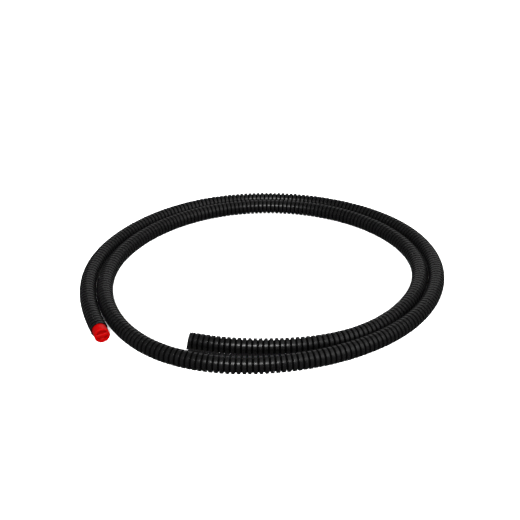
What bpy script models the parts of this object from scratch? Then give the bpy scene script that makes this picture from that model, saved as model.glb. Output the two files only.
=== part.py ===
"""Guide hose of a drain auger: a loose flat coil of corrugated hose with a push-in plug in one end.

Metres, +Z up. The hose lies on the plane z = 0, and the origin is under the middle of the coil.
"""

import math

import bpy
import numpy as np
from mathutils import Matrix, Vector

OBJECT_NAME = "drain_auger_guide_hose"
MM = 0.001

# The hose: its outer size is over the crests of the ribs, its bore is inside the valleys.
HOSE_RADIUS = 18.0 * MM
BORE_RADIUS = 12.9 * MM
HOSE_SIDES_PER_QUARTER = 3

# The coil: the centreline's distance from the coil's middle, in millimetres, every 30 degrees,
# clockwise seen from above, from the plug's end to the open end. The ends lie a little straighter.
STATION_STEP = math.radians(30)
FIRST_STATION = math.radians(-60)
STATION_RADII = (
    473, 422, 399, 385, 383, 384,
    387, 393, 386, 375, 371, 383,
    401, 383, 359, 342, 338, 339,
    343, 348, 348, 337, 330, 322,
    339,
)
COIL_START = math.radians(-33.7)
COIL_END = math.radians(654.3)
END_STRAIGHT = 24.0 * MM
ROUTE_SAMPLES = 4000
# The open end is sawn off this far from square, with the coil's outer side and the top cut back.
OPEN_END_SLANT = math.radians(8.5)
OPEN_END_TILT = math.radians(8)

# The hose is one moulding. Its solid is made as stretches that meet face to face, each short
# enough for simple convex shapes to follow its wall all round the open bore.
STRETCHES = 16
CHORDS_PER_STRETCH = 6
JOINT_STRAIGHT = 2.5 * MM
JOINT_GAP = 0.3 * MM
SAWN_OFF = 6.0 * MM

# The plug: a thick-walled cup that tapers to its neck in the hose's mouth, with a grip bar across
# it, and a hollow spigot that fits the bore.
FIT_GAP = 0.3 * MM
SEAT_RADIUS = BORE_RADIUS + 0.2 * MM
MOUTH_RADIUS = 15.8 * MM
MOUTH_DEPTH = 5.0 * MM
HEAD_RADIUS = 16.4 * MM
NECK_RADIUS = 15.2 * MM
HEAD_OUT = 24.0 * MM
SPIGOT_RADIUS = SEAT_RADIUS - FIT_GAP
SPIGOT_LENGTH = 22.0 * MM
PLUG_WALL = 2.4 * MM
CUP_RADIUS = 12.2 * MM
CUP_DEPTH = 8.0 * MM
GRIP_BAR_THICKNESS = 6.5 * MM
GRIP_BAR_SET_BACK = 1.0 * MM
PLUG_ROLL = math.radians(5)
EDGE_BEVEL = 0.8 * MM
PLUG_STEPS = 64


def clear_scene():
    for old in list(bpy.data.objects):
        bpy.data.objects.remove(old, do_unlink=True)


def new_collection(name):
    collection = bpy.data.collections.new(name)
    bpy.context.scene.collection.children.link(collection)
    return collection


def plastic(name, colour, roughness):
    material = bpy.data.materials.new(name)
    material.use_nodes = True
    shader = material.node_tree.nodes["Principled BSDF"]
    shader.inputs["Base Color"].default_value = (*colour, 1.0)
    shader.inputs["Roughness"].default_value = roughness
    shader.inputs["Metallic"].default_value = 0.0
    return material


def smooth_radius(angles):
    """The natural cubic spline through the stations' radii, in metres, at each angle."""
    radii = np.array(STATION_RADII) * MM
    count = len(radii)
    system = np.eye(count)
    rhs = np.zeros(count)
    for i in range(1, count - 1):
        system[i, i - 1:i + 2] = (1.0, 4.0, 1.0)
        rhs[i] = 6.0 * (radii[i - 1] - 2.0 * radii[i] + radii[i + 1])
    bend = np.linalg.solve(system, rhs)
    place = (np.asarray(angles) - FIRST_STATION) / STATION_STEP
    low = np.clip(np.floor(place).astype(int), 0, count - 2)
    right = place - low
    left = 1.0 - right
    straight = left * radii[low] + right * radii[low + 1]
    curved = ((left**3 - left) * bend[low] + (right**3 - right) * bend[low + 1]) / 6.0
    return straight + curved


def hose_route():
    """The centreline from the plug's end to the open end: closely spaced points, and the length
    of hose up to each of them. Both ends are straight."""
    angles = np.linspace(COIL_START, COIL_END, ROUTE_SAMPLES)
    radii = smooth_radius(angles)
    coil = np.stack([-radii * np.cos(angles), radii * np.sin(angles)], axis=1)
    first_way = (coil[0] - coil[1]) / np.linalg.norm(coil[0] - coil[1])
    last_way = (coil[-1] - coil[-2]) / np.linalg.norm(coil[-1] - coil[-2])
    flat = np.concatenate([
        [coil[0] + END_STRAIGHT * first_way],
        coil,
        [coil[-1] + END_STRAIGHT * last_way],
    ])
    flat = flat - (coil.min(axis=0) + coil.max(axis=0)) / 2.0
    points = np.column_stack([flat, np.full(len(flat), HOSE_RADIUS)])
    lengths = np.linalg.norm(np.diff(points, axis=0), axis=1)
    return points, np.concatenate([[0.0], np.cumsum(lengths)])


def stretch_points(route, number):
    """The points of one stretch's tube, with a short straight run to square off each end. The
    last stretch runs on straight past the open end, for the saw cut."""
    points, along = route
    first, last = number == 0, number == STRETCHES - 1
    start = along[-1] * number / STRETCHES + (0.0 if first else JOINT_GAP / 2.0)
    end = along[-1] * (number + 1) / STRETCHES - (0.0 if last else JOINT_GAP / 2.0)
    bends = np.linspace(
        start + (END_STRAIGHT if first else JOINT_STRAIGHT),
        end - (END_STRAIGHT if last else JOINT_STRAIGHT),
        CHORDS_PER_STRETCH + 1,
    )
    places = np.concatenate([[start], bends, [end]])
    tube = np.stack([np.interp(places, along, points[:, axis]) for axis in range(3)], axis=1)
    if last:
        tube[-1] += SAWN_OFF * (tube[-1] - tube[-2]) / np.linalg.norm(tube[-1] - tube[-2])
    return tube


def mouth_frame(route):
    """The frame at the plug's end of the hose: origin on the mouth's centre, +Z pointing out."""
    tip, inner = Vector(route[0][0]), Vector(route[0][1])
    out = (tip - inner).normalized()
    up = Vector((0.0, 0.0, 1.0))
    side = up.cross(out)
    turn = Matrix((side, up, out)).transposed()
    return Matrix.Translation(tip) @ turn.to_4x4()


def open_end_frame(route):
    """The frame of the saw cut at the open end: origin on the centreline, +X pointing out."""
    tip, inner = Vector(route[0][-1]), Vector(route[0][-2])
    out = tip - inner
    heading = math.atan2(out.y, out.x) + OPEN_END_SLANT
    turn = Matrix.Rotation(heading, 4, "Z") @ Matrix.Rotation(-OPEN_END_TILT, 4, "Y")
    return Matrix.Translation(tip) @ turn


def mesh_from(source, name, collection):
    """A new mesh object with the evaluated shape of source, which is then removed."""
    bpy.context.view_layer.update()
    evaluated = source.evaluated_get(bpy.context.evaluated_depsgraph_get())
    mesh = bpy.data.meshes.new_from_object(evaluated)
    result = bpy.data.objects.new(name, mesh)
    result.matrix_world = source.matrix_world.copy()
    collection.objects.link(result)
    bpy.data.objects.remove(source, do_unlink=True)
    return result


def cutter_object(name, collection):
    """Names the primitive just added and makes it a cutter in the collection."""
    cutter = bpy.context.object
    cutter.name = name
    for owner in list(cutter.users_collection):
        owner.objects.unlink(cutter)
    collection.objects.link(cutter)
    cutter.hide_render = True
    cutter.display_type = "WIRE"
    return cutter


def cylinder_cutter(name, radius, low, high, frame, collection):
    """A round cutter along the frame's +Z, from low to high."""
    bpy.ops.mesh.primitive_cylinder_add(vertices=PLUG_STEPS, radius=radius, depth=high - low)
    cutter = cutter_object(name, collection)
    cutter.matrix_world = frame @ Matrix.Translation((0.0, 0.0, (low + high) / 2.0))
    return cutter


def saw_cutter(frame, collection):
    """A block over everything past the frame's YZ plane."""
    size = 3.0 * HOSE_RADIUS
    bpy.ops.mesh.primitive_cube_add(size=size)
    cutter = cutter_object("saw_cut", collection)
    cutter.matrix_world = frame @ Matrix.Translation((size / 2.0, 0.0, 0.0))
    return cutter


def boolean(target, tool, operation):
    change = target.modifiers.new(f"{operation.lower()}_{tool.name}", "BOOLEAN")
    change.operation = operation
    change.object = tool
    change.solver = "EXACT"


def make_stretch(name, points, material, parts):
    """One stretch of the hose: a plain tube over the ribs' crests, with the bore through it."""
    curve = bpy.data.curves.new("hose_curve", "CURVE")
    curve.dimensions = "3D"
    curve.twist_mode = "Z_UP"
    curve.bevel_depth = HOSE_RADIUS
    curve.bevel_resolution = 2 * HOSE_SIDES_PER_QUARTER - 2
    curve.use_fill_caps = False
    spline = curve.splines.new("POLY")
    spline.points.add(len(points) - 1)
    for point, place in zip(spline.points, points):
        point.co = (*place, 1.0)
    tube = bpy.data.objects.new("hose_tube", curve)
    parts.objects.link(tube)
    wall = tube.modifiers.new("wall", "SOLIDIFY")
    wall.thickness = HOSE_RADIUS - BORE_RADIUS
    wall.offset = -1.0
    stretch = mesh_from(tube, name, parts)
    stretch.data.materials.clear()
    stretch.data.materials.append(material)
    shade_round(stretch)
    return stretch


def make_hose(route, mouth, parts, cutters):
    """The hose's stretches in order, with the plug's seat cut into the first and the open end
    of the last sawn off."""
    black = plastic("hose_black", (0.012, 0.012, 0.013), 0.42)
    stretches = [
        make_stretch(f"guide_hose_{number + 1:02d}", stretch_points(route, number), black, parts)
        for number in range(STRETCHES)
    ]
    seat_depth = MOUTH_DEPTH + SPIGOT_LENGTH + FIT_GAP
    past = 2.0 * MM
    flare = cylinder_cutter("mouth_flare", MOUTH_RADIUS, -MOUTH_DEPTH, past, mouth, cutters)
    seat_top = -MOUTH_DEPTH / 2.0
    seat = cylinder_cutter("spigot_seat", SEAT_RADIUS, -seat_depth, seat_top, mouth, cutters)
    boolean(stretches[0], flare, "DIFFERENCE")
    boolean(stretches[0], seat, "DIFFERENCE")
    boolean(stretches[-1], saw_cutter(open_end_frame(route), cutters), "DIFFERENCE")


def plug_profile():
    """Half of the plug's section, from the cup's floor round the outside to the web's back."""
    front = HEAD_OUT
    shoulder = -MOUTH_DEPTH + FIT_GAP
    tail = shoulder - SPIGOT_LENGTH + FIT_GAP
    hollow_radius = SPIGOT_RADIUS - PLUG_WALL
    web_back = front - CUP_DEPTH - PLUG_WALL
    return (
        (0.0, front - CUP_DEPTH),
        (CUP_RADIUS, front - CUP_DEPTH),
        (CUP_RADIUS, front),
        (HEAD_RADIUS - EDGE_BEVEL, front),
        (HEAD_RADIUS, front - EDGE_BEVEL),
        (NECK_RADIUS, shoulder),
        (SPIGOT_RADIUS, shoulder),
        (SPIGOT_RADIUS, tail + EDGE_BEVEL),
        (SPIGOT_RADIUS - EDGE_BEVEL, tail),
        (hollow_radius, tail),
        (hollow_radius, web_back),
        (0.0, web_back),
    )


def make_plug(mouth, parts, cutters):
    """The plug: a turned cup with a spigot, and a grip bar moulded across its face."""
    profile = bpy.data.meshes.new("plug_profile")
    points = plug_profile()
    edges = [(i, i + 1) for i in range(len(points) - 1)]
    profile.from_pydata([(radius, 0.0, height) for radius, height in points], edges, [])
    plug = bpy.data.objects.new("end_plug", profile)
    parts.objects.link(plug)
    turned = plug.modifiers.new("turned", "SCREW")
    turned.steps = PLUG_STEPS
    turned.render_steps = PLUG_STEPS
    turned.use_merge_vertices = True
    turned.merge_threshold = 0.00001

    overlap = PLUG_WALL / 2.0
    bar_low = HEAD_OUT - CUP_DEPTH - overlap
    bar_high = HEAD_OUT - GRIP_BAR_SET_BACK
    bpy.ops.mesh.primitive_cube_add(size=1.0)
    bar = cutter_object("grip_bar", cutters)
    length = 2.0 * (CUP_RADIUS + overlap)
    bar.data.transform(Matrix.Diagonal((length, GRIP_BAR_THICKNESS, bar_high - bar_low, 1.0)))
    bar_place = Matrix.Translation((0.0, 0.0, (bar_low + bar_high) / 2.0))

    axis = bpy.data.objects.new("plug_axis", None)
    axis.empty_display_size = HOSE_RADIUS
    parts.objects.link(axis)
    axis.matrix_world = mouth @ Matrix.Rotation(PLUG_ROLL, 4, "Z")
    plug.parent = axis
    bar.parent = axis
    bar.matrix_local = bar_place
    boolean(plug, bar, "UNION")
    plug.data.materials.append(plastic("plug_red", (0.62, 0.004, 0.006), 0.38))
    return plug


def shade_round(piece):
    piece.data.shade_smooth()
    piece.data.set_sharp_from_angle(angle=math.radians(35))


def main():
    clear_scene()
    parts = new_collection(OBJECT_NAME)
    cutters = new_collection("cutters")
    route = hose_route()
    mouth = mouth_frame(route)
    make_hose(route, mouth, parts, cutters)
    make_plug(mouth, parts, cutters)


main()
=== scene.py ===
"""The looks of a drain auger's guide hose: the ribbed hose, its red end plug, and a plain studio.

Metres, in the frame's own axes. The hose follows the same coil as the CAD solids.
"""

import math

import bmesh
import bpy
import numpy as np
from mathutils import Matrix, Vector


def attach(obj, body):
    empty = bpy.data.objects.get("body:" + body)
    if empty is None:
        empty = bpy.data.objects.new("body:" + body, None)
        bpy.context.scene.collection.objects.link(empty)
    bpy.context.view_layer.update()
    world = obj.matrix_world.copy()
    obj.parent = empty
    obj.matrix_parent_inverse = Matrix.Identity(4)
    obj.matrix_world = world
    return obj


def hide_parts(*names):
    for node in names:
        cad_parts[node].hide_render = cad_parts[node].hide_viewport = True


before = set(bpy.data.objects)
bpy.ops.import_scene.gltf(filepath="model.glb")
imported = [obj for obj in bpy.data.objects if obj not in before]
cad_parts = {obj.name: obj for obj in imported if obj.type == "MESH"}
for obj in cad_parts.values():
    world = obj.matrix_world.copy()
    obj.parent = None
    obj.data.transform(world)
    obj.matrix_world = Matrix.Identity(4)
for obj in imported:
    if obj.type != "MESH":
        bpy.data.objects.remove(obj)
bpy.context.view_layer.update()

MM = 0.001

# ---------------------------------------------------------------- the camera
CAMERA_PLACE = (-9.5 * MM, -1906.8 * MM, 1066.2 * MM)
CAMERA_DOWN = math.radians(28.23)
CAMERA_LENS = 65.77
CAMERA_SENSOR = 36.0

# ----------------------------------------------------------------- the lights
WORLD_SEEN = 1.0
WORLD_MIRRORED = 0.08
WORLD_FILL = 0.05
# The lamps on the hose: name, place, size in metres, power, and whether it shows in reflections.
LAMPS = (
    ("key", (-0.15, -2.36, 2.68), (1.6, 0.5), 44.0, True),
    ("front", (-0.4, -3.0, 3.2), (3.0, 2.0), 80.0, False),
    ("low_front", (0.9, -3.5, 0.7), (3.0, 0.6), 55.0, False),
    ("left", (-3.3, 0.0, 2.6), (3.0, 2.0), 45.0, False),
    ("right", (3.3, 0.0, 2.6), (3.0, 2.0), 45.0, False),
    ("back_panel", (0.6, 4.0, 1.6), (5.0, 2.4), 15.0, True),
    ("top_panel", (1.8, -0.2, 4.0), (6.0, 4.0), 26.0, True),
    ("right_panel", (3.0, -1.6, 2.6), (3.0, 3.0), 18.0, True),
)
# The lamps that light only the floor, low down so that the gaps between the turns stay dark: name,
# place, size in metres and power.
FLOOR_LAMPS = (
    ("floor_front", (0.0, -4.0, 1.0), (3.0, 0.6), 1500.0),
    ("floor_back_left", (-2.8, 2.8, 1.9), (3.0, 1.5), 700.0),
    ("floor_back_right", (2.8, 2.8, 1.9), (3.0, 1.5), 700.0),
)
# The floor is a disc inside the ring of its lamps, and past its edge the world is as white.
FLOOR_RADIUS = 3.5
FLOOR_SIDES = 96

# ------------------------------------------------- the hose's coil, as in CAD
# The centreline's distance from the coil's middle, in millimetres, every 30 degrees, clockwise
# seen from above, from the plug's end to the open end.
STATION_STEP = math.radians(30)
FIRST_STATION = math.radians(-60)
STATION_RADII = (
    473, 422, 399, 385, 383, 384,
    387, 393, 386, 375, 371, 383,
    401, 383, 359, 342, 338, 339,
    343, 348, 348, 337, 330, 322,
    339,
)
COIL_START = math.radians(-33.7)
COIL_END = math.radians(654.3)
END_STRAIGHT = 24.0 * MM
ROUTE_SAMPLES = 4000
# The open end is sawn off this far from square, with the coil's outer side and the top cut back.
OPEN_END_SLANT = math.radians(8.5)
OPEN_END_TILT = math.radians(8)
SAWN_OFF = 6.0 * MM

# ------------------------------------------------------------------ the hose
HOSE_RADIUS = 18.0 * MM
RIB_HEIGHT = 3.9 * MM
WALL = 1.2 * MM
RIBS = 414
HOSE_SIDES = 24
HOSE_SHARP_FROM = math.radians(70)
WELD_WITHIN = 0.001 * MM
# Where the first rib's middle is, and what is left past the last rib's middle, in pitches.
FIRST_RIB = 0.30
LAST_RIB = 0.77
# One rib: distance from its middle in pitches, and share of the rib's height.
RIB_SHAPE = (
    (-0.405, 0.0), (-0.37, 0.10), (-0.30, 0.90), (-0.27, 1.0),
    (0.27, 1.0), (0.30, 0.90), (0.37, 0.10), (0.405, 0.0),
)
# The same rib seen from inside the bore, where the wall's thickness narrows it.
GROOVE_SHAPE = ((-0.27, 0.0), (-0.22, 0.9), (0.22, 0.9), (0.27, 0.0))
GROOVES_SHOWN = 14
BORE_STEP = 25.0 * MM
# The plug's seat: a wider mouth, and a smooth bore behind it.
MOUTH_RADIUS = 15.9 * MM
MOUTH_DEPTH = 5.0 * MM
SEAT_RADIUS = 13.1 * MM
SEAT_DEPTH = 28.0 * MM

# ------------------------------------------------------------------ the plug
FIT_GAP = 0.3 * MM
HEAD_RADIUS = 16.4 * MM
NECK_RADIUS = 15.2 * MM
HEAD_OUT = 24.0 * MM
SPIGOT_RADIUS = SEAT_RADIUS - FIT_GAP
SPIGOT_LENGTH = 22.0 * MM
PLUG_WALL = 2.4 * MM
CUP_RADIUS = 12.2 * MM
CUP_DEPTH = 8.0 * MM
GRIP_BAR_THICKNESS = 6.5 * MM
GRIP_BAR_SET_BACK = 1.0 * MM
PLUG_ROLL = math.radians(5)
PLUG_SIDES = 96
PLUG_SHARP_FROM = math.radians(32)


def smooth_radius(angles):
    """The natural cubic spline through the stations' radii, in metres, at each angle."""
    radii = np.array(STATION_RADII) * MM
    count = len(radii)
    system = np.eye(count)
    rhs = np.zeros(count)
    for i in range(1, count - 1):
        system[i, i - 1:i + 2] = (1.0, 4.0, 1.0)
        rhs[i] = 6.0 * (radii[i - 1] - 2.0 * radii[i] + radii[i + 1])
    bend = np.linalg.solve(system, rhs)
    place = (np.asarray(angles) - FIRST_STATION) / STATION_STEP
    low = np.clip(np.floor(place).astype(int), 0, count - 2)
    right = place - low
    left = 1.0 - right
    straight = left * radii[low] + right * radii[low + 1]
    curved = ((left**3 - left) * bend[low] + (right**3 - right) * bend[low + 1]) / 6.0
    return straight + curved


class Route:
    """The hose's centreline, from the plug's end to the open end, and on past it where it's sawn."""

    def __init__(self):
        angles = np.linspace(COIL_START, COIL_END, ROUTE_SAMPLES)
        radii = smooth_radius(angles)
        coil = np.stack([-radii * np.cos(angles), radii * np.sin(angles)], axis=1)
        first_way = (coil[0] - coil[1]) / np.linalg.norm(coil[0] - coil[1])
        last_way = (coil[-1] - coil[-2]) / np.linalg.norm(coil[-1] - coil[-2])
        flat = np.concatenate([
            [coil[0] + END_STRAIGHT * first_way],
            coil,
            [coil[-1] + END_STRAIGHT * last_way],
            [coil[-1] + (END_STRAIGHT + SAWN_OFF) * last_way],
        ])
        flat = flat - (coil.min(axis=0) + coil.max(axis=0)) / 2.0
        self.points = np.column_stack([flat, np.full(len(flat), HOSE_RADIUS)])
        steps = np.linalg.norm(np.diff(self.points, axis=0), axis=1)
        self.along = np.concatenate([[0.0], np.cumsum(steps)])
        self.length = float(self.along[-2])

    def at(self, distances):
        """The centreline's points at these distances from the plug's end."""
        return np.stack(
            [np.interp(distances, self.along, self.points[:, axis]) for axis in range(3)],
            axis=-1,
        )

    def way(self, distances):
        """The centreline's direction at these distances, towards the open end."""
        reach = 2.0 * MM
        before = self.at(np.clip(distances - reach, 0.0, self.length))
        after = self.at(np.clip(distances + reach, reach, self.length + reach))
        way = after - before
        return way / np.linalg.norm(way, axis=-1)[..., None]


def make_object(name, points, faces, material):
    mesh = bpy.data.meshes.new(name)
    mesh.from_pydata([tuple(p) for p in points], [], faces)
    mesh.update()
    mesh.materials.append(material)
    made = bpy.data.objects.new(name, mesh)
    bpy.context.scene.collection.objects.link(made)
    return made


# -------------------------------------------------------------------- the hose
def rib_pitch(route):
    return route.length / (RIBS - 1 + FIRST_RIB + LAST_RIB)


def outer_skin(route):
    """Distance along the hose, radius and share of the rib's height for each ring of the outside."""
    pitch = rib_pitch(route)
    rings = [
        ((FIRST_RIB + rib + offset) * pitch, share)
        for rib in range(-1, RIBS + 1)
        for offset, share in RIB_SHAPE
    ]
    distances = np.array([ring[0] for ring in rings])
    shares = np.array([ring[1] for ring in rings])
    kept = (distances > 0.0) & (distances < route.length + SAWN_OFF)
    first_share = np.interp(0.0, distances, shares)
    distances = np.concatenate([[0.0], distances[kept]])
    shares = np.concatenate([[first_share], shares[kept]])
    return distances, HOSE_RADIUS - RIB_HEIGHT * (1.0 - shares), shares


def inner_skin(route):
    """The same for the bore, from the plug's end: its seat, the plain middle and the grooves."""
    pitch = rib_pitch(route)
    plain = HOSE_RADIUS - RIB_HEIGHT - WALL
    grooves = [
        ((FIRST_RIB + rib + offset) * pitch, plain + share * RIB_HEIGHT)
        for rib in range(RIBS - GROOVES_SHOWN, RIBS + 1)
        for offset, share in GROOVE_SHAPE
    ]
    seat = [
        (0.0, MOUTH_RADIUS), (MOUTH_DEPTH, MOUTH_RADIUS), (MOUTH_DEPTH, SEAT_RADIUS),
        (SEAT_DEPTH, SEAT_RADIUS), (SEAT_DEPTH, plain),
    ]
    grooved_from = grooves[0][0]
    count = int((grooved_from - SEAT_DEPTH) / BORE_STEP)
    middle = np.linspace(SEAT_DEPTH, grooved_from, count)[1:-1]
    rings = np.array(seat + [(distance, plain) for distance in middle] + grooves)
    rings = rings[rings[:, 0] < route.length + SAWN_OFF]
    return rings[:, 0], rings[:, 1], np.zeros(len(rings))


def saw_off(route, skin):
    """A skin's corners, HOSE_SIDES to a ring, with those past the saw cut moved back onto it."""
    turn = np.arange(HOSE_SIDES) * math.tau / HOSE_SIDES
    along, radii, shares = (np.repeat(values[:, None], HOSE_SIDES, axis=1) for values in skin)
    slope = np.cos(turn) * math.tan(OPEN_END_SLANT)
    slope -= np.sin(turn) * math.tan(OPEN_END_TILT) / math.cos(OPEN_END_SLANT)
    past = along - route.length - radii * slope
    for side in range(HOSE_SIDES):
        first = int(np.argmax(past[:, side] > 0.0))
        before, after = past[first - 1, side], past[first, side]
        part = before / (before - after)
        for values in (along, radii, shares):
            step = values[first, side] - values[first - 1, side]
            values[first:, side] = values[first - 1, side] + part * step
    way = route.way(along)
    up = np.array([0.0, 0.0, 1.0])
    across = np.cross(way, up) * np.cos(turn)[None, :, None] + up * np.sin(turn)[None, :, None]
    return route.at(along) + radii[..., None] * across, shares


def make_hose(route, material):
    """One closed skin: along the outside, round the cut end, back through the bore and round again."""
    outer = outer_skin(route)
    out_points, out_shares = saw_off(route, outer)
    in_points, in_shares = saw_off(route, inner_skin(route))
    rings = np.concatenate([out_points, in_points[::-1]])
    corner = np.arange(rings.shape[0] * HOSE_SIDES).reshape(-1, HOSE_SIDES)
    ahead = np.roll(corner, -1, axis=0)
    faces = np.stack(
        [corner, np.roll(corner, -1, axis=1), np.roll(ahead, -1, axis=1), ahead], axis=-1
    )
    hose = make_object("guide_hose", rings.reshape(-1, 3), faces.reshape(-1, 4).tolist(), material)
    crest = np.concatenate([out_shares, in_shares[::-1]]).astype(np.float32)
    hose.data.attributes.new("crest", "FLOAT", "POINT").data.foreach_set("value", crest.ravel())
    weld_corners(hose.data)
    hose.data.shade_smooth()
    hose.data.set_sharp_from_angle(angle=HOSE_SHARP_FROM)
    hose.modifiers.new("flat_crests", "WEIGHTED_NORMAL").keep_sharp = True
    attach(hose, "hose")
    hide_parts(*(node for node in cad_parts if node.startswith("guide_hose")))
    route.at(np.unique(np.clip(outer[0], 0.0, route.length))).tolist()
    return hose


def weld_corners(mesh):
    """Merges the corners that the saw cut moved to the same place."""
    shape = bmesh.new()
    shape.from_mesh(mesh)
    bmesh.ops.remove_doubles(shape, verts=shape.verts, dist=WELD_WITHIN)
    shape.to_mesh(mesh)
    shape.free()


# -------------------------------------------------------------------- the plug
def fillet(corner, before, after, radius, steps):
    """The points of an arc of that radius that rounds a corner between two directions."""
    corner, before, after = (np.array(p, float) for p in (corner, before, after))
    to_before = (before - corner) / np.linalg.norm(before - corner)
    to_after = (after - corner) / np.linalg.norm(after - corner)
    half = math.acos(float(np.clip(to_before @ to_after, -1.0, 1.0))) / 2.0
    reach = radius / math.tan(half)
    start, end = corner + reach * to_before, corner + reach * to_after
    middle = corner + (to_before + to_after) / np.linalg.norm(to_before + to_after) * (
        radius / math.sin(half)
    )
    first, last = start - middle, end - middle
    swing = math.acos(float(np.clip(first @ last / radius**2, -1.0, 1.0)))
    return [
        tuple(
            middle
            + (math.sin((1 - t) * swing) * first + math.sin(t * swing) * last) / math.sin(swing)
        )
        for t in np.linspace(0.0, 1.0, steps)
    ]


def rounded(points, radii, steps=5):
    """An open outline with its inner corners rounded; a radius of 0 keeps a corner."""
    line = [points[0]]
    for i in range(1, len(points) - 1):
        if radii[i] > 0.0:
            line += fillet(points[i], points[i - 1], points[i + 1], radii[i], steps)
        else:
            line.append(points[i])
    return line + [points[-1]]


def plug_outline():
    """Half of the plug's section, (radius, height), from the cup's floor round to the web's back."""
    shoulder = -MOUTH_DEPTH + FIT_GAP
    tail = shoulder - SPIGOT_LENGTH + FIT_GAP
    hollow_radius = SPIGOT_RADIUS - PLUG_WALL
    web_back = HEAD_OUT - CUP_DEPTH - PLUG_WALL
    corners = (
        ((0.0, HEAD_OUT - CUP_DEPTH), 0.0),
        ((CUP_RADIUS, HEAD_OUT - CUP_DEPTH), 1.2 * MM),
        ((CUP_RADIUS, HEAD_OUT), 1.0 * MM),
        ((HEAD_RADIUS, HEAD_OUT), 1.8 * MM),
        ((NECK_RADIUS, shoulder), 0.4 * MM),
        ((SPIGOT_RADIUS, shoulder), 0.4 * MM),
        ((SPIGOT_RADIUS, tail), 0.8 * MM),
        ((hollow_radius, tail), 0.5 * MM),
        ((hollow_radius, web_back), 1.0 * MM),
        ((0.0, web_back), 0.0),
    )
    return rounded([c[0] for c in corners], [c[1] for c in corners])


def turned(name, outline, material):
    """A closed solid of revolution about +Z, from an outline that starts and ends on the axis."""
    turn = np.arange(PLUG_SIDES) * math.tau / PLUG_SIDES
    body = outline[1:-1]
    points = [(r * math.cos(a), r * math.sin(a), h) for r, h in body for a in turn]
    first, last = len(points), len(points) + 1
    points += [(0.0, 0.0, outline[0][1]), (0.0, 0.0, outline[-1][1])]
    faces = []
    for side in range(PLUG_SIDES):
        after = (side + 1) % PLUG_SIDES
        for ring in range(len(body) - 1):
            low, high = ring * PLUG_SIDES, (ring + 1) * PLUG_SIDES
            faces.append((low + side, high + side, high + after, low + after))
        faces.append((first, side, after))
        end = (len(body) - 1) * PLUG_SIDES
        faces.append((last, end + after, end + side))
    return make_object(name, points, faces, material)


def grip_bar(name, material):
    """The bar across the cup: a slab with its outer edges rounded and its ends inside the wall."""
    half_length = CUP_RADIUS + PLUG_WALL / 2.0
    half_thick = GRIP_BAR_THICKNESS / 2.0
    low = HEAD_OUT - CUP_DEPTH - PLUG_WALL / 2.0
    high = HEAD_OUT - GRIP_BAR_SET_BACK
    edge = 1.4 * MM
    section = rounded(
        [(-half_thick, low), (-half_thick, high), (half_thick, high), (half_thick, low)],
        [0.0, edge, edge, 0.0],
        steps=6,
    )
    count = len(section)
    points = [(x, y, z) for x in (-half_length, half_length) for y, z in section]
    faces = [(i, i + 1, count + i + 1, count + i) for i in range(count - 1)]
    faces.append((count - 1, 0, count, 2 * count - 1))
    faces.append(tuple(range(count - 1, -1, -1)))
    faces.append(tuple(range(count, 2 * count)))
    return make_object(name, points, faces, material)


def make_plug(route, material):
    tip, inner = Vector(route.points[0]), Vector(route.points[1])
    out = (tip - inner).normalized()
    up = Vector((0.0, 0.0, 1.0))
    turn = Matrix((up.cross(out), up, out)).transposed()
    plug = turned("end_plug_moulding", plug_outline(), material)
    bar = grip_bar("grip_bar_shape", material)
    union = plug.modifiers.new("grip_bar", "BOOLEAN")
    union.operation = "UNION"
    union.solver = "EXACT"
    union.object = bar
    bpy.context.view_layer.update()
    shaped = bpy.data.meshes.new_from_object(plug.evaluated_get(bpy.context.evaluated_depsgraph_get()))
    plug.modifiers.clear()
    plug.data = shaped
    bpy.data.objects.remove(bar, do_unlink=True)
    plug.matrix_world = (
        Matrix.Translation(tip) @ turn.to_4x4() @ Matrix.Rotation(PLUG_ROLL, 4, "Z")
    )
    plug.data.shade_smooth()
    plug.data.set_sharp_from_angle(angle=PLUG_SHARP_FROM)
    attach(plug, "plug")
    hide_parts("end_plug")
    # The plug doesn't show in the hose's reflections.
    plug.visible_glossy = False
    return plug


# --------------------------------------------------------------- the materials
def new_material(name):
    material = bpy.data.materials.new(name)
    material.use_nodes = True
    nodes, links = material.node_tree.nodes, material.node_tree.links
    return material, nodes, links, nodes["Principled BSDF"]


def add_noise(nodes, links, scale, detail, roughness=0.55):
    where = nodes.new("ShaderNodeTexCoord")
    noise = nodes.new("ShaderNodeTexNoise")
    noise.inputs["Scale"].default_value = scale
    noise.inputs["Detail"].default_value = detail
    noise.inputs["Roughness"].default_value = roughness
    links.new(where.outputs["Object"], noise.inputs["Vector"])
    return noise.outputs["Fac"]


def add_ramp(nodes, links, source, stops):
    """A colour ramp from source; each stop is a place and a grey or a colour."""
    ramp = nodes.new("ShaderNodeValToRGB")
    elements = ramp.color_ramp.elements
    while len(elements) < len(stops):
        elements.new(0.5)
    for element, (place, colour) in zip(elements, stops):
        colour = (colour,) * 3 if isinstance(colour, float) else colour
        element.position = place
        element.color = (*colour, 1.0)
    links.new(source, ramp.inputs["Fac"])
    return ramp.outputs["Color"]


def add_bump(nodes, links, shader, height, strength, distance):
    bump = nodes.new("ShaderNodeBump")
    bump.inputs["Strength"].default_value = strength
    bump.inputs["Distance"].default_value = distance
    links.new(height, bump.inputs["Height"])
    links.new(bump.outputs["Normal"], shader.inputs["Normal"])


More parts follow.
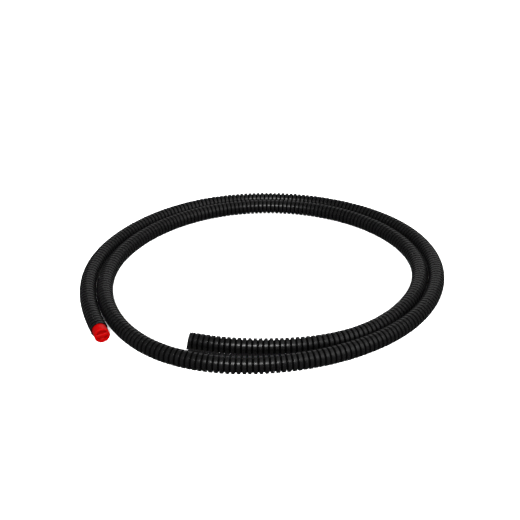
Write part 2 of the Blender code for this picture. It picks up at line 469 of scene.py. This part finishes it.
def hose_black():
    """Black moulded plastic with painted shade in the valleys, which are darker and less glossy; the
    crests are lighter, partly from scuffing wear and partly from that painted shade.
    """
    material, nodes, links, shader = new_material("hose_black")
    crest = nodes.new("ShaderNodeAttribute")
    crest.attribute_name = "crest"
    patches = add_noise(nodes, links, 14.0, 5.0)
    # Painted shade: mixed by the crest share, the valleys get a darker black than the crests. The
    # crests' lighter, patchy black is partly scuffing wear.
    colour = nodes.new("ShaderNodeMix")
    colour.data_type = "RGBA"
    blacks = ((0.3, (0.004, 0.004, 0.0042)), (0.7, (0.007, 0.007, 0.0073)))
    crest_wear_and_shade = add_ramp(nodes, links, patches, blacks)
    colour.inputs["A"].default_value = (0.0015, 0.0015, 0.0016, 1.0)
    links.new(crest.outputs["Fac"], colour.inputs["Factor"])
    links.new(crest_wear_and_shade, colour.inputs["B"])
    links.new(colour.outputs["Result"], shader.inputs["Base Color"])
    # Painted shade: the reflection is turned down in the valleys in place of the shade that the ribs
    # cast there.
    valley_shade_gloss = nodes.new("ShaderNodeMapRange")
    valley_shade_gloss.inputs["To Min"].default_value = 0.02
    valley_shade_gloss.inputs["To Max"].default_value = 0.55
    links.new(crest.outputs["Fac"], valley_shade_gloss.inputs["Value"])
    links.new(valley_shade_gloss.outputs["Result"], shader.inputs["Specular IOR Level"])
    fine = add_noise(nodes, links, 260.0, 4.0)
    links.new(add_ramp(nodes, links, fine, ((0.3, 0.24), (0.7, 0.33))), shader.inputs["Roughness"])
    grain = add_noise(nodes, links, 900.0, 3.0)
    add_bump(nodes, links, shader, grain, 0.12, 0.2 * MM)
    return material


def plug_red():
    """Bright red moulded plastic, half gloss, with a fine moulded grain."""
    material, nodes, links, shader = new_material("plug_red")
    patches = add_noise(nodes, links, 60.0, 4.0)
    reds = ((0.3, (0.54, 0.0004, 0.0006)), (0.7, (0.60, 0.0006, 0.001)))
    tint = add_ramp(nodes, links, patches, reds)
    links.new(tint, shader.inputs["Base Color"])
    shader.inputs["Specular IOR Level"].default_value = 0.25
    fine = add_noise(nodes, links, 400.0, 3.0)
    links.new(add_ramp(nodes, links, fine, ((0.3, 0.30), (0.7, 0.40))), shader.inputs["Roughness"])
    add_bump(nodes, links, shader, fine, 0.08, 0.15 * MM)
    return material


def floor_white():
    material, nodes, links, shader = new_material("floor_white")
    patches = add_noise(nodes, links, 1.5, 2.0)
    links.new(add_ramp(nodes, links, patches, ((0.3, 0.88), (0.7, 0.9))), shader.inputs["Base Color"])
    shader.inputs["Roughness"].default_value = 0.9
    shader.inputs["Specular IOR Level"].default_value = 0.0
    return material


# ------------------------------------------------------------------ the studio
def make_camera():
    data = bpy.data.cameras.new("camera")
    data.lens = CAMERA_LENS
    data.sensor_width = CAMERA_SENSOR
    camera = bpy.data.objects.new("camera", data)
    camera.location = CAMERA_PLACE
    camera.rotation_euler = (math.pi / 2.0 - CAMERA_DOWN, 0.0, 0.0)
    bpy.context.scene.collection.objects.link(camera)
    bpy.context.scene.camera = camera


def make_floor():
    turn = np.arange(FLOOR_SIDES) * math.tau / FLOOR_SIDES
    rim = [(FLOOR_RADIUS * math.cos(a), FLOOR_RADIUS * math.sin(a), 0.0) for a in turn]
    floor = make_object("floor", rim, [tuple(range(FLOOR_SIDES))], floor_white())
    # The floor neither shows in the hose's reflections nor lights it from below.
    floor.visible_glossy = False
    floor.visible_diffuse = False
    return floor


def soft_light(name, place, size, power, mirrored, lit):
    """An area lamp that lights only the collection lit, and shows in reflections if mirrored."""
    data = bpy.data.lights.new(name, "AREA")
    data.shape = "RECTANGLE"
    data.size, data.size_y = size
    data.energy = power
    light = bpy.data.objects.new(name, data)
    light.location = place
    light.rotation_mode = "QUATERNION"
    light.rotation_quaternion = (-Vector(place)).to_track_quat("-Z", "Y")
    light.visible_camera = False
    light.visible_glossy = mirrored
    light.light_linking.receiver_collection = lit
    bpy.context.scene.collection.objects.link(light)


def make_world():
    """White to the camera, and a dimmer white in reflections than a lamp, with little fill light."""
    world = bpy.data.worlds.new("studio")
    world.use_nodes = True
    nodes, links = world.node_tree.nodes, world.node_tree.links
    ray = nodes.new("ShaderNodeLightPath")
    strength = None
    steps = (("Is Camera Ray", WORLD_SEEN - WORLD_FILL), ("Is Glossy Ray", WORLD_MIRRORED - WORLD_FILL))
    for output, extra in steps:
        step = nodes.new("ShaderNodeMath")
        step.operation = "MULTIPLY_ADD"
        step.inputs[1].default_value = extra
        step.inputs[2].default_value = WORLD_FILL
        links.new(ray.outputs[output], step.inputs[0])
        if strength is not None:
            links.new(strength, step.inputs[2])
        strength = step.outputs["Value"]
    backdrop = nodes["Background"]
    backdrop.inputs["Color"].default_value = (1.0, 1.0, 1.0, 1.0)
    links.new(strength, backdrop.inputs["Strength"])
    bpy.context.scene.world = world


def lit_collection(name, *objects):
    collection = bpy.data.collections.new(name)
    for each in objects:
        collection.objects.link(each)
    return collection


def make_studio(hose, plug, floor):
    make_world()
    bpy.context.scene.view_settings.view_transform = "Standard"
    pieces = lit_collection("lit_pieces", hose, plug)
    for name, place, size, power, mirrored in LAMPS:
        soft_light(name, place, size, power, mirrored, pieces)
    only_floor = lit_collection("lit_floor", floor)
    for name, place, size, power in FLOOR_LAMPS:
        soft_light(name, place, size, power, False, only_floor)


def main():
    make_camera()
    route = Route()
    hose = make_hose(route, hose_black())
    plug = make_plug(route, plug_red())
    make_studio(hose, plug, make_floor())


main()
